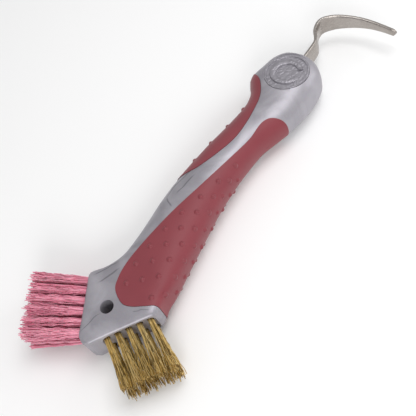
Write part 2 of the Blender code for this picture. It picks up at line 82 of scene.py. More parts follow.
def handle_station(x):
    """Upper edge, lower edge, half thickness and squareness of the handle at x."""
    last = len(HANDLE_STATIONS) - 1
    i = max(k for k in range(last) if HANDLE_STATIONS[k][0] <= x or k == 0)
    a, b = HANDLE_STATIONS[i], HANDLE_STATIONS[i + 1]
    before, after = HANDLE_STATIONS[max(i - 1, 0)], HANDLE_STATIONS[min(i + 2, last)]
    width = b[0] - a[0]
    slopes = [
        ((b[k] - before[k]) / (b[0] - before[0]) * width, (after[k] - a[k]) / (after[0] - a[0]) * width)
        for k in range(1, 5)
    ]
    t = (x - a[0]) / width
    return [hermite(a[k + 1], b[k + 1], *slopes[k], t) for k in range(4)]


def handle_point(x, angle, grow=0.0):
    """A point of the handle's skin; the angle runs from the upper edge over the crown."""
    upper, lower, half, squareness = handle_station(x)
    across, up = math.cos(angle), math.sin(angle)
    y = (upper + lower) / 2
    y += ((upper - lower) / 2 + grow) * math.copysign(abs(across) ** (2 / squareness), across)
    z = min((half + grow) * CROWN_SHARE * abs(up) ** (2 / squareness), CROWN + grow)
    return Vector((x, y, math.copysign(z, up)))


def tube(bm, sides, rings, place):
    """A closed tube, whose points go where place(turn, run) says, with run from 0 to 1 along it."""
    first = len(bm.verts)
    bmesh.ops.create_cone(bm, cap_ends=True, segments=sides, radius1=1, radius2=1, depth=1)
    bm.verts.ensure_lookup_table()
    if rings > 2:
        own = set(bm.verts[first:])
        walls = [
            edge for edge in bm.edges
            if edge.verts[0] in own and abs(edge.verts[0].co.z - edge.verts[1].co.z) > 0.5
        ]
        bmesh.ops.subdivide_edges(bm, edges=walls, cuts=rings - 2)
        bm.verts.ensure_lookup_table()
    for vert in bm.verts[first:]:
        vert.co = place(math.atan2(vert.co.y, vert.co.x), min(max(vert.co.z + 0.5, 0.0), 1.0))


def handle_skin(bm, grow=0.0, ends=(HANDLE_STATIONS[0][0], HANDLE_STATIONS[-1][0]), rings=HANDLE_RINGS):
    """The handle's outer shape between two ends, made thicker by the growth given."""
    start, stop = ends
    tube(bm, HANDLE_SIDES, rings, lambda turn, run: handle_point(start + (stop - start) * run, turn, grow))


def finish_mesh(name, bm, sharp=32):
    """A mesh piece in the frame's metres, facing out, smooth up to the angle given in degrees."""
    bmesh.ops.recalc_face_normals(bm, faces=bm.faces)
    bmesh.ops.transform(bm, matrix=to_frame, verts=bm.verts)
    mesh = bpy.data.meshes.new(name)
    bm.to_mesh(mesh)
    bm.free()
    piece = bpy.data.objects.new(name, mesh)
    bpy.context.scene.collection.objects.link(piece)
    shade(piece, sharp)
    return piece


def shade(piece, sharp=32):
    piece.data.shade_smooth()
    piece.data.set_sharp_from_angle(angle=math.radians(sharp))


def carve(piece, cutter, operation="DIFFERENCE"):
    """Apply an exact Boolean with the cutter, and drop the cutter."""
    step = piece.modifiers.new(cutter.name, "BOOLEAN")
    step.operation = operation
    step.solver = "EXACT"
    step.object = cutter
    bpy.context.view_layer.update()
    solid = piece.evaluated_get(bpy.context.evaluated_depsgraph_get())
    result = bpy.data.meshes.new_from_object(solid)
    piece.modifiers.clear()
    piece.data = result
    bpy.data.objects.remove(cutter)


def stand_for(piece, material, slot, *nodes):
    """Give a piece its material, and let it take the place of its CAD nodes."""
    piece.data.materials.clear()
    piece.data.materials.append(material)
    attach(piece, "root")
    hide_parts(*nodes)


def linear(hex_colour):
    """An sRGB hex colour as linear RGBA."""
    channels = [int(hex_colour[i:i + 2], 16) / 255 for i in (1, 3, 5)]
    return (*[c / 12.92 if c <= 0.04045 else ((c + 0.055) / 1.055) ** 2.4 for c in channels], 1.0)


def add_node(tree, kind, inputs=None, **settings):
    """A node with its settings; an input is a value, or the socket that feeds it."""
    made = tree.nodes.new(kind)
    for name, value in settings.items():
        setattr(made, name, value)
    for name, value in (inputs or {}).items():
        if isinstance(value, bpy.types.NodeSocket):
            tree.links.new(value, made.inputs[name])
        else:
            made.inputs[name].default_value = value
    return made


def new_material(name):
    """An empty material with its Principled shader and its object coordinates."""
    material = bpy.data.materials.new(name)
    material.use_nodes = True
    tree = material.node_tree
    shader = tree.nodes["Principled BSDF"]
    return material, tree, shader, add_node(tree, "ShaderNodeTexCoord").outputs["Object"]


# Silver ABS: metallic flake in a grey resin. The flake turns with the melt, which leaves slow light
# and dark swirls, and dark hairlines where two flows meet, as from the hang hole to the head's corner.
FLOW_LINES = [  # middle x, y, direction in degrees, length, width
    (-73.6, 10.4, 166.0, 13.0, 0.30), (-57.6, -8.2, 118.0, 5.5, 0.26), (-59.8, -5.6, 128.0, 4.5, 0.22),
    (-52.5, 17.0, -24.0, 13.0, 0.5), (-50.0, 20.4, -30.0, 15.0, 0.45), (-9.0, 13.6, 62.0, 9.0, 0.45),
    (2.5, 11.8, -8.0, 15.0, 0.4), (5.0, 15.5, -14.0, 20.0, 0.5), (-2.0, 17.2, 2.0, 13.0, 0.4),
]
silver_abs, tree, shader, place = new_material("silver_pigmented_ABS")
swirl = add_node(tree, "ShaderNodeTexNoise", {
    "Vector": place, "Scale": 1 / 0.022, "Detail": 3, "Distortion": 1.6})
flake = add_node(tree, "ShaderNodeTexNoise", {"Vector": place, "Scale": 1 / 0.0007, "Detail": 2})
wander = add_node(tree, "ShaderNodeTexNoise", {"Vector": place, "Scale": 1 / 0.006, "Detail": 1})
offset = add_node(tree, "ShaderNodeVectorMath", {
    0: wander.outputs["Color"], 1: (0.5, 0.5, 0.5)}, operation="SUBTRACT")
drift = add_node(tree, "ShaderNodeVectorMath", {
    0: offset.outputs[0], "Scale": 0.0022}, operation="SCALE")
bent = add_node(tree, "ShaderNodeVectorMath", {0: place, 1: drift.outputs[0]}, operation="ADD")
lines = None
for x, y, direction, length, width in FLOW_LINES:
    centre = to_frame @ Vector((x, y, 0))
    turned = add_node(tree, "ShaderNodeMapping", {
        "Vector": bent.outputs[0], "Location": centre, "Rotation": (0, 0, math.radians(direction))},
        vector_type="TEXTURE")
    parts = add_node(tree, "ShaderNodeSeparateXYZ", {"Vector": turned.outputs[0]})
    reach = []
    for socket, size in (("X", length / 2), ("Y", width)):
        away = add_node(tree, "ShaderNodeMath", {0: parts.outputs[socket]}, operation="ABSOLUTE")
        reach.append(add_node(tree, "ShaderNodeMapRange", {
            "Value": away.outputs[0], "From Min": size * MM * 0.5, "From Max": size * MM,
            "To Min": 1.0, "To Max": 0.0}, interpolation_type="SMOOTHSTEP"))
    line = add_node(tree, "ShaderNodeMath", {
        0: reach[0].outputs[0], 1: reach[1].outputs[0]}, operation="MULTIPLY")
    if lines is None:
        lines = line
    else:
        lines = add_node(tree, "ShaderNodeMath", {
            0: lines.outputs[0], 1: line.outputs[0]}, operation="MAXIMUM")
tone = add_node(tree, "ShaderNodeValToRGB", {"Fac": swirl.outputs["Fac"]})
tone.color_ramp.elements[0].position = 0.36
tone.color_ramp.elements[0].color = linear("#97949B")
tone.color_ramp.elements[1].position = 0.66
tone.color_ramp.elements[1].color = linear("#ACA9B0")
flaked = add_node(tree, "ShaderNodeMix", {
    "Factor": 0.14, 6: tone.outputs["Color"], 7: flake.outputs["Color"]},
    data_type="RGBA", blend_type="SOFT_LIGHT")
fade = add_node(tree, "ShaderNodeMath", {0: lines.outputs[0], 1: 0.5}, operation="MULTIPLY")
lined = add_node(tree, "ShaderNodeMix", {
    "Factor": fade.outputs[0], 6: flaked.outputs[2], 7: linear("#4E4C52")}, data_type="RGBA")
tree.links.new(lined.outputs[2], shader.inputs["Base Color"])
rough = add_node(tree, "ShaderNodeMapRange", {"Value": swirl.outputs["Fac"], "To Min": 0.4, "To Max": 0.5})
tree.links.new(rough.outputs[0], shader.inputs["Roughness"])
shader.inputs["Metallic"].default_value = 0.5
grain = add_node(tree, "ShaderNodeBump", {
    "Height": flake.outputs["Fac"], "Strength": 0.12, "Distance": 0.00005})
tree.links.new(grain.outputs[0], shader.inputs["Normal"])

bm = bmesh.new()
handle_skin(bm)
handle = finish_mesh("moulded_handle", bm)


def hang_hole_point(turn, run):
    """A point of the hole's wall, which opens out at both faces."""
    z = (run - 0.5) * 2 * (HEAD_HALF + HOLE_OVERRUN)
    r = HANG_HOLE_RADIUS + max(0.0, abs(z) - HEAD_HALF + HOLE_EDGE_BREAK)
    return Vector((HANG_HOLE[0] + r * math.cos(turn), HANG_HOLE[1] + r * math.sin(turn), z))


bm = bmesh.new()
tube(bm, 48, 40, hang_hole_point)
carve(handle, finish_mesh("hang_hole", bm))

# --- Soft grip panels -----------------------------------------------------------------------------
# Two panels of wine-red thermoplastic elastomer are moulded over the handle in a second shot. They
# lie in seats, stand a little proud of the hard plastic and carry rows of raised dots for the fingers.
PANEL_DEPTH = 1.6
PANEL_PROUD = 0.3
SEAM = 0.12
SEAT_PLAY = 0.1
PANEL_RING_PITCH = 1.4
PANEL_OVERRUN = 4  # how far the cutters reach past the panel's ends and out of its face
SLAB_REACH = 19  # half height of the slab that a panel is cut from, clear of the thickest section
MAIN_PANEL_EDGE = [
    (-52.6, -20.0), (-53.2, -12.0), (-55.6, -8.0), (-59.2, -2.0), (-59.9, 3.0), (-56.4, 9.4),
    (-51.6, 11.7), (-44.0, 12.6), (-32.6, 11.7), (-13.8, 8.5), (5.4, 4.3), (25.3, 0.7),
    (38.0, -1.4), (47.0, -1.9), (51.6, -3.6), (54.2, -7.0), (55.6, -12.0), (55.2, -20.0),
]
THUMB_PANEL_EDGE = [
    (4.0, 30.0), (4.6, 21.0), (10.5, 14.1), (15.4, 11.1), (24.7, 7.6), (34.5, 5.1), (44.2, 4.8),
    (53.8, 5.8), (63.2, 7.8), (70.4, 12.1), (74.2, 17.4), (76.4, 23.0), (76.8, 30.0),
]


def smooth_path(points, steps):
    """Points along a smooth curve through the given points, ends included."""
    path, last = [], len(points) - 1
    for i in range(last):
        before, start = Vector(points[max(i - 1, 0)]), Vector(points[i])
        end, after = Vector(points[i + 1]), Vector(points[min(i + 2, last)])
        for k in range(steps):
            path.append(hermite(start, end, (end - before) * 0.5, (after - start) * 0.5, k / steps))
    return path + [Vector(points[-1])]


def widened(outline, distance):
    """The outline with each point moved outwards."""
    count = len(outline)
    area = sum(outline[i - 1].x * outline[i].y - outline[i].x * outline[i - 1].y for i in range(count))
    moved = []
    for i in range(count):
        along = (outline[(i + 1) % count] - outline[i - 1]).normalized()
        moved.append(outline[i] + Vector((along.y, -along.x)) * math.copysign(distance, area))
    return moved


def slab(bm, outline, low, high):
    """A closed slab over a flat outline, extruded from height low to height high."""
    face = bm.faces.new([bm.verts.new((p[0], p[1], low)) for p in outline])
    side = bmesh.ops.extrude_face_region(bm, geom=[face])
    top = [item for item in side["geom"] if isinstance(item, bmesh.types.BMVert)]
    bmesh.ops.translate(bm, vec=(0, 0, high - low), verts=top)


def seat_panel(name, edge):
    """The panel's solid; its seat is cut from the handle on the way."""
    outline = smooth_path(edge, 8)
    ends = min(p.x for p in outline) - PANEL_OVERRUN, max(p.x for p in outline) + PANEL_OVERRUN
    rings = int((ends[1] - ends[0]) / PANEL_RING_PITCH)
    solids = []
    panel, seat = (0.0, PANEL_PROUD, PANEL_DEPTH), (SEAM, PANEL_OVERRUN, PANEL_DEPTH + SEAT_PLAY)
    for grow_edge, grow_out, depth in (panel, seat):
        bm = bmesh.new()
        slab(bm, widened(outline, grow_edge), -SLAB_REACH, SLAB_REACH)
        solid = finish_mesh(name, bm)
        bm = bmesh.new()
        handle_skin(bm, grow_out, ends, rings)
        carve(solid, finish_mesh("skin", bm), "INTERSECT")
        bm = bmesh.new()
        handle_skin(bm, -depth, ends, rings)
        carve(solid, finish_mesh("core", bm))
        solids.append(solid)
    carve(handle, solids[1])
    return solids[0]


# Grip dots: soft bells that swell out of the panel, 3.8 mm across at the foot and 0.8 mm high.
DOT_RADIUS = 1.9
DOT_HEIGHT = 0.82
DOT_SINK = 0.3
DOT_SHOULDER = 1.25  # above 1 the bell's foot runs out more slowly
DOT_SIDES = 14
DOT_RINGS = 8
DOT_PITCH = 9.3
DOT_STRETCH = 0.19
DOT_FIRST_X = -51.6
DOT_COLUMNS = 15  # half pitches along the panel
DOT_EDGE_MARGIN = 4.1
DOT_ROWS = 8
DOT_ROW_PITCH = 4.0  # distance between rows at x = 0
DOT_ROW_TAPER = 0.062  # the rows draw together towards the hook, down to the least pitch
DOT_ROW_LEAST = 3.6
DOT_LAG = 0.055  # each row falls back a little more from this x on, up to the limit
DOT_LAG_START = -42.0
DOT_LAG_LIMIT = 1.8
DOT_LAST_MARGIN = 3.0  # free strip along the panel's far edge


def raise_dot(bm, x, angle):
    """One soft dot, standing on the panel's skin at this place."""
    step = 0.02  # radians to each side
    point = handle_point(x, angle, PANEL_PROUD)
    around = handle_point(x, angle + step) - handle_point(x, angle - step)
    out = (handle_point(x + 1, angle) - handle_point(x - 1, angle)).cross(around).normalized()
    if out.dot(point - Vector((x, sum(handle_station(x)[:2]) / 2, 0))) < 0:
        out.negate()
    side = out.cross(Vector((1, 0, 0))).normalized()
    other = out.cross(side)

    def bell(turn, run):
        r = DOT_RADIUS * (1 - run)
        swell = 0.5 * (1 + math.cos(math.pi * (1 - run) ** DOT_SHOULDER))
        height = (DOT_HEIGHT + DOT_SINK) * swell - DOT_SINK
        return point + out * height + (side * math.cos(turn) + other * math.sin(turn)) * r

    tube(bm, DOT_SIDES, DOT_RINGS, bell)


def edge_height(edge, x):
    """The panel's long edge in the plan, at x."""
    path = smooth_path(edge[1:-1], 8)
    for a, b in zip(path, path[1:]):
        if a.x <= x <= b.x:
            return a.y + (b.y - a.y) * (x - a.x) / (b.x - a.x)


DOT_CLEARANCE = 1.12 * DOT_RADIUS  # least distance of a dot's middle from the panel's edge


def stands_on(point, outline):
    """Whether a dot at this point stands wholly on the panel, seen in the plan."""
    crossings = 0
    for a, b in zip(outline, outline[1:] + outline[:1]):
        if (a.y > point.y) != (b.y > point.y):
            crossings += point.x < a.x + (b.x - a.x) * (point.y - a.y) / (b.y - a.y)
    return crossings % 2 == 1 and min((spot - point.xy).length for spot in outline) > DOT_CLEARANCE


def skin_turn(x, distance, outline):
    """The angle that lies this far over the skin from the panel's long edge, if a dot fits there."""
    edge = edge_height(MAIN_PANEL_EDGE, x)
    skin = [(math.radians(turn), handle_point(x, math.radians(turn))) for turn in range(0, 271)]
    skin = [(turn, point) for turn, point in skin if point.y < edge]
    steps = [(b[1] - a[1]).length for a, b in zip(skin, skin[1:])]
    if distance < sum(steps) - DOT_LAST_MARGIN:
        for (turn, point), step in zip(skin[1:], steps):
            distance -= step
            if distance <= 0:
                return turn if stands_on(point, outline) else None


def main_panel_dots(bm):
    """Staggered rows that follow the long edge and wrap round the handle's lower side."""
    outline = smooth_path(MAIN_PANEL_EDGE, 8)
    for row in range(DOT_ROWS):
        for column in range(-(row % 2), DOT_COLUMNS, 2):
            pitches = column / 2
            x = DOT_FIRST_X + DOT_PITCH * pitches + DOT_STRETCH * pitches ** 2
            x -= row * min(DOT_LAG_LIMIT, max(0.0, DOT_LAG * (x - DOT_LAG_START)))
            spacing = max(DOT_ROW_LEAST, DOT_ROW_PITCH - DOT_ROW_TAPER * x)
            turn = skin_turn(x, DOT_EDGE_MARGIN + row * spacing, outline)
            if turn is not None:
                raise_dot(bm, x, turn)


THUMB_DOT_FIRST_X = 18.0
THUMB_DOT_PITCH = 12.3
THUMB_DOT_COLUMNS = 4
THUMB_DOT_TURN = 0.42  # angle of each row round the section from its upper edge, in radians


def thumb_panel_dots(bm):
    """Two short rows along the thumb panel's outer side."""
    for row in (-1, 1):
        for i in range(THUMB_DOT_COLUMNS):
            x = THUMB_DOT_FIRST_X + THUMB_DOT_PITCH * (i + (row < 0) / 2)
            raise_dot(bm, x, row * THUMB_DOT_TURN)


# Elastomer: deep wine red, nearly matt from a spark-eroded mould, and a little paler where it is
# rubbed. The grain is about 0.4 mm, and slow stains of the mould release show as a softer sheen.
wine_tpe, tree, shader, place = new_material("wine_red_TPE")
stain = add_node(tree, "ShaderNodeTexNoise", {"Vector": place, "Scale": 1 / 0.018, "Detail": 3})
grit = add_node(tree, "ShaderNodeTexNoise", {"Vector": place, "Scale": 1 / 0.0004, "Detail": 2})
tone = add_node(tree, "ShaderNodeMix", {
    "Factor": stain.outputs["Fac"], 6: linear("#782B35"), 7: linear("#88343D")}, data_type="RGBA")
speck = add_node(tree, "ShaderNodeMix", {
    "Factor": 0.1, 6: tone.outputs[2], 7: grit.outputs["Color"]},
    data_type="RGBA", blend_type="SOFT_LIGHT")
tree.links.new(speck.outputs[2], shader.inputs["Base Color"])
rough = add_node(tree, "ShaderNodeMapRange", {
    "Value": stain.outputs["Fac"], "To Min": 0.46, "To Max": 0.62})
tree.links.new(rough.outputs[0], shader.inputs["Roughness"])
skin_bump = add_node(tree, "ShaderNodeBump", {
    "Height": grit.outputs["Fac"], "Strength": 0.25, "Distance": 0.00006})
tree.links.new(skin_bump.outputs[0], shader.inputs["Normal"])
shader.inputs["IOR"].default_value = 1.5
shader.inputs["Sheen Weight"].default_value = 0.12

for name, edge, dots in (
    ("main_grip", MAIN_PANEL_EDGE, main_panel_dots), ("thumb_grip", THUMB_PANEL_EDGE, thumb_panel_dots),
):
    panel = seat_panel(f"{name}_panel", edge)
    bm = bmesh.new()
    dots(bm)
    bmesh.ops.recalc_face_normals(bm, faces=bm.faces)
    bmesh.ops.transform(bm, matrix=to_frame, verts=bm.verts)
    bm.from_mesh(panel.data)
    bm.to_mesh(panel.data)
    bm.free()
    shade(panel, 40)
    stand_for(panel, wine_tpe, "wine_red_rubber", name)

# --- Steel hook -----------------------------------------------------------------------------------
# The hook is one strip of mild steel, 1.9 mm thick. It is bent cold, ground to a narrow rounded tip
# and tumbled until its edges are soft; its flat tang is held in the handle's round end.
STRIP_THICKNESS = 1.9
HOOK_BEND = [
    (67.0, 2.85), (80.0, 2.85), (98.0, 2.85), (108.2, 2.9), (112.4, 4.5), (116.4, 7.2), (121.2, 8.6),
    (125.6, 7.9), (129.6, 3.3), (132.0, -2.6), (133.5, -9.6), (133.8, -16.8), (133.1, -24.0), (131.9, -31.2),
]
SHANK_WIDTH = 10.4
TIP_WIDTH = 3.6
TAPER_START = 0.55
HOOK_RINGS = 150
TANG_SLOT = (66.7, 104.0, 1.75, 3.95)  # x and y limits; the slot is open towards the hook
SLOT_SIDE_PLAY = 0.15

bend = smooth_path(HOOK_BEND, 14)
lengths = [0.0]
for a, b in zip(bend, bend[1:]):
    lengths.append(lengths[-1] + (b - a).length)


def along_bend(run):
    """The place on the strip's middle line at this share of its length."""
    wanted = run * lengths[-1]
    i = max(k for k in range(len(bend) - 1) if lengths[k] <= wanted)
    return bend[i].lerp(bend[i + 1], (wanted - lengths[i]) / (lengths[i + 1] - lengths[i]))


def strip_point(turn, run):
    """A point of the strip's skin: a flat section with round edges, narrowing to a round tip."""
    here = along_bend(run)
    along = (along_bend(min(run + 0.01, 1)) - along_bend(max(run - 0.01, 0))).normalized()
    taper = max(0.0, (run - TAPER_START) / (1 - TAPER_START))
    half = (SHANK_WIDTH + (TIP_WIDTH - SHANK_WIDTH) * taper * taper * (3 - 2 * taper)) / 2
    left = (1 - run) * lengths[-1]
    if left < half:
        half *= math.sqrt(max(0.05, 1 - (1 - left / half) ** 2))
    wide = half * math.copysign(abs(math.cos(turn)) ** 0.3, math.cos(turn))
    thick = STRIP_THICKNESS / 2 * math.copysign(abs(math.sin(turn)) ** 0.45, math.sin(turn))
    return Vector((here.x - along.y * thick, here.y + along.x * thick, wide))


# Tumbled steel: warm grey, satin, with fine scratches along the strip and faint heat colour.
tumbled_steel, tree, shader, place = new_material("tumbled_mild_steel")
stretched = add_node(tree, "ShaderNodeMapping", {"Vector": place, "Scale": (1, 1, 9)})
scratch = add_node(tree, "ShaderNodeTexNoise", {
    "Vector": stretched.outputs[0], "Scale": 1 / 0.004, "Detail": 4, "Roughness": 0.7})
cloud = add_node(tree, "ShaderNodeTexNoise", {"Vector": place, "Scale": 1 / 0.012, "Detail": 2})
tone = add_node(tree, "ShaderNodeMix", {
    "Factor": cloud.outputs["Fac"], 6: linear("#8F8781"), 7: linear("#C0BAB5")}, data_type="RGBA")
tree.links.new(tone.outputs[2], shader.inputs["Base Color"])
shader.inputs["Metallic"].default_value = 1.0
rough = add_node(tree, "ShaderNodeMapRange", {
    "Value": scratch.outputs["Fac"], "To Min": 0.2, "To Max": 0.36})
tree.links.new(rough.outputs[0], shader.inputs["Roughness"])
scratched = add_node(tree, "ShaderNodeBump", {
    "Height": scratch.outputs["Fac"], "Strength": 0.2, "Distance": 0.00008})
tree.links.new(scratched.outputs[0], shader.inputs["Normal"])

bm = bmesh.new()
tube(bm, 32, HOOK_RINGS, strip_point)
hook = finish_mesh("bent_strip_hook", bm, 50)
stand_for(hook, tumbled_steel, "hook_steel", "steel_hook")

bm = bmesh.new()
left, right, low, high = TANG_SLOT
half = SHANK_WIDTH / 2 + SLOT_SIDE_PLAY
slab(bm, [(left, low), (right, low), (right, high), (left, high)], -half, half)
carve(handle, finish_mesh("tang_slot", bm))

# --- Badge ----------------------------------------------------------------------------------------
# A round badge sits flush in the handle's round end. It is die cast and satin plated, with a raised
# rim, a plain horseshoe with its nail heads, and a shallow groove in the plastic all round.
BADGE_CENTRE = (80.0, 2.1)
BADGE_RADIUS = 11.4
BADGE_THICKNESS = 1.6
RIM_WIDTH = 0.8
FIELD_DEPTH = 0.5
SHOE_HALF_HEIGHT = 0.92
NAIL_RADIUS = 0.62
NAIL_HEIGHT = 0.32
NAIL_FLATNESS = 0.35
SHOE_STRETCH = 1.08  # a horseshoe is a little longer than wide
SHOE_RADIUS = 6.6
SHOE_WIDTH = 3.0
SHOE_OPENING = math.radians(62)
NAILS = 7

cx, cy = BADGE_CENTRE


def shoe_angle(run):
    return -math.pi / 2 + SHOE_OPENING / 2 + (math.tau - SHOE_OPENING) * run


def shoe_point(turn, run):
    """The horseshoe's skin: a flat bar with round edges, bent round and open towards -Y."""
    width = SHOE_WIDTH * (0.82 + 0.25 * math.sin(math.pi * run))
    r = SHOE_RADIUS + width / 2 * math.copysign(abs(math.cos(turn)) ** 0.5, math.cos(turn))
    z = CROWN - FIELD_DEPTH + SHOE_HALF_HEIGHT * math.copysign(abs(math.sin(turn)) ** 0.6, math.sin(turn))
    angle = shoe_angle(run)
    return Vector((cx + r * math.cos(angle), cy + r * SHOE_STRETCH * math.sin(angle), z))


bm = bmesh.new()
tube(bm, 16, 60, shoe_point)
for i in range(NAILS):
    angle = shoe_angle(0.1 + 0.8 * i / (NAILS - 1))
    y = cy + SHOE_RADIUS * SHOE_STRETCH * math.sin(angle)
    spot = (cx + SHOE_RADIUS * math.cos(angle), y, CROWN + NAIL_HEIGHT)
    flat = Matrix.Translation(spot) @ Matrix.Scale(NAIL_FLATNESS, 4, (0, 0, 1))
    bmesh.ops.create_uvsphere(bm, u_segments=10, v_segments=6, radius=NAIL_RADIUS, matrix=flat)
rim = [
    (0, CROWN - BADGE_THICKNESS), (BADGE_RADIUS, CROWN - BADGE_THICKNESS), (BADGE_RADIUS, CROWN - 0.15),
    (BADGE_RADIUS - 0.15, CROWN), (BADGE_RADIUS - RIM_WIDTH, CROWN),
    (BADGE_RADIUS - RIM_WIDTH - 0.3, CROWN - FIELD_DEPTH), (0, CROWN - FIELD_DEPTH),
]
profile = [bm.verts.new((cx + r, cy, z)) for r, z in rim]
edges = [bm.edges.new(pair) for pair in zip(profile, profile[1:])]
bmesh.ops.spin(
    bm, geom=profile + edges, cent=(cx, cy, 0), axis=(0, 0, 1), angle=math.tau, steps=72, use_merge=True)
bmesh.ops.remove_doubles(bm, verts=bm.verts, dist=0.001)
badge = finish_mesh("horseshoe_badge_casting", bm, 40)

# Satin plated zinc: cool grey with a hammered ground of 2.2 mm cells behind the horseshoe.
satin_zinc, tree, shader, place = new_material("satin_plated_zinc")
cells = add_node(
    tree, "ShaderNodeTexVoronoi", {"Vector": place, "Scale": 1 / 0.0022}, feature="DISTANCE_TO_EDGE")
patina = add_node(tree, "ShaderNodeTexNoise", {"Vector": place, "Scale": 1 / 0.003, "Detail": 4})
tone = add_node(tree, "ShaderNodeMix", {
    "Factor": patina.outputs["Fac"], 6: linear("#8B888F"), 7: linear("#A9A6AD")}, data_type="RGBA")
tree.links.new(tone.outputs[2], shader.inputs["Base Color"])
shader.inputs["Metallic"].default_value = 0.6
shader.inputs["Roughness"].default_value = 0.4
hammered = add_node(tree, "ShaderNodeBump", {
    "Height": cells.outputs["Distance"], "Strength": 1.0, "Distance": 0.0004})
tree.links.new(hammered.outputs[0], shader.inputs["Normal"])
stand_for(badge, satin_zinc, "badge_alloy", "horseshoe_badge")

# Its seat in the handle, and the groove round it, whose wall slopes in: radius at the foot and at
# the top, and depth under the crown.
for foot, top, depth in (
    (BADGE_RADIUS + 0.12, BADGE_RADIUS + 0.12, BADGE_THICKNESS + 0.15),
    (BADGE_RADIUS + 0.8, BADGE_RADIUS + 1.1, 0.35),
):
    bm = bmesh.new()
    bmesh.ops.create_cone(
        bm, cap_ends=True, segments=72, radius1=foot, radius2=top, depth=depth + 2,
        matrix=Matrix.Translation((cx, cy, CROWN - depth + (depth + 2) / 2)))
    carve(handle, finish_mesh("badge_seat", bm))

# --- Brushes --------------------------------------------------------------------------------------
# Both brushes are staple-set: each tuft is folded in half over a flat staple of wire and driven into
# a drilled hole. Twelve nylon tufts stand on the head's upper face and ten of brass on its lower face.
ROW_HEIGHT = 3.8
BED_DEPTH = 0.8
BED_HALF_WIDTH = 6.1
BED_LIP = 0.35  # the recess opens out from this depth on
BED_SQUARENESS = 0.35
HOLE_DEPTH = 4.3
HOLE_PLAY = 0.2
NYLON = {
    "node": "nylon", "first": (-79.0, 12.7), "face_angle": 33.1, "pitch": 5.0, "count": 6, "margin": 2.05,
    "fan": (120.0, 115.5), "length": 28.8, "root": 1.8, "tip": (2.8, 4.0), "lean": 0.6, "flare": 0.7,
    "filaments": 96, "radius": 0.2, "wave": 0.42, "wave_length": 8.0, "uneven": 1.2, "seed": 11,
    "slot": "pink_nylon",
}
BRASS = {
    "node": "brass", "first": (-75.7, 0.35), "face_angle": -36.3, "pitch": 5.1, "count": 5, "margin": 1.9,
    "fan": (241.0, 241.5), "length": 25.0, "root": 1.4, "tip": (2.5, 3.8), "lean": 0.5, "flare": 1.7,
    "filaments": 60, "radius": 0.15, "wave": 0.2, "wave_length": 4.5, "uneven": 1.3, "seed": 5,
    "slot": "brass_wire",
}
FILAMENT_POINTS = 12
FILAMENT_ROOT = -2.6  # where a filament starts, under the face
SHORTFALL = -0.6  # mean difference of a filament's length from the tuft's, and its greatest excess
EXCESS = 0.8
WILD_SHARE = 0.02  # one filament in fifty strays this many times further than the rest
WILDNESS = 3.5
UP = Vector((0, 0, 1))


def tuft_frames(bed):
    """Where each tuft leaves the face: point, direction, direction along the face, and row."""
    slope = math.radians(bed["face_angle"])
    frames = []
    for row in (1, -1):
        for i in range(bed["count"]):
            share = i / (bed["count"] - 1)
            turn = math.radians(bed["fan"][0] + (bed["fan"][1] - bed["fan"][0]) * share)
            run = bed["pitch"] * i
            x, y = bed["first"][0] + run * math.cos(slope), bed["first"][1] + run * math.sin(slope)
            out = Vector((math.cos(turn), math.sin(turn), 0))
            frames.append((Vector((x, y, row * ROW_HEIGHT)), out, Vector((-out.y, out.x, 0)), row))
    return frames


def cut_bed(bed, outwards):
    """The recess with a chamfered lip that the tufts stand in, and the drilled holes in its floor."""
    slope = math.radians(bed["face_angle"])
    along = Vector((math.cos(slope), math.sin(slope), 0))
    face_out = UP.cross(along) * outwards
    middle = Vector((*bed["first"], 0)) + along * bed["pitch"] * (bed["count"] - 1) / 2
    half = bed["pitch"] * (bed["count"] - 1) / 2 + bed["margin"]

    def recess(turn, run):
        height = -BED_DEPTH + run * 4
        lip = max(0.0, height + BED_LIP)
        x = (half + lip) * math.copysign(abs(math.cos(turn)) ** BED_SQUARENESS, math.cos(turn))
        z = (BED_HALF_WIDTH + lip) * math.copysign(abs(math.sin(turn)) ** BED_SQUARENESS, math.sin(turn))
        return middle + along * x + face_out * height + UP * z

    bm = bmesh.new()
    tube(bm, 48, 40, recess)
    carve(handle, finish_mesh("bed_recess", bm))
    bm = bmesh.new()
    r = bed["root"] + HOLE_PLAY
    for point, out, side, _ in tuft_frames(bed):

        def hole(turn, run):
            depth = -BED_DEPTH - HOLE_DEPTH + run * (HOLE_DEPTH + 2)
            return point + out * depth + side * r * math.cos(turn) + UP * r * math.sin(turn)

        tube(bm, 20, 2, hole)
    carve(handle, finish_mesh("tuft_holes", bm))


def filament_route(bed, chance, point, out, side, row):
    """One wavy filament from the bottom of its hole to its cut end."""
    angle, reach = chance.uniform(0, math.tau), math.sqrt(chance.random())
    u, v = math.cos(angle) * reach, math.sin(angle) * reach
    length = bed["length"] + min(EXCESS, chance.gauss(SHORTFALL, bed["uneven"] * 0.5))
    wild = WILDNESS if chance.random() < WILD_SHARE else 1.0
    stray_u, stray_v = chance.gauss(0, 0.42) * wild, chance.gauss(0, 0.35)
    phase, turn = chance.uniform(0, math.tau), chance.uniform(0, math.tau)
    wave_length = bed["wave_length"] * chance.uniform(0.8, 1.3)
    core = bed["root"] - 0.15
    route = []
    for i in range(FILAMENT_POINTS):
        run = FILAMENT_ROOT + (length - FILAMENT_ROOT) * i / (FILAMENT_POINTS - 1)
        share = max(0.0, run / bed["length"])
        flare = share ** bed["flare"]
        ripple = bed["wave"] * min(1.0, share * 4) * math.sin(phase + math.tau * run / wave_length)
        stray = share ** 1.6
        across = u * (core + (bed["tip"][0] - core) * flare) + stray_u * stray + ripple * math.cos(turn)
        above = v * (core + (bed["tip"][1] - core) * flare) + stray_v * stray + ripple * math.sin(turn)
        above += row * bed["lean"] * flare
        route.append(to_frame @ (point + out * run + side * across + UP * above))
    return route


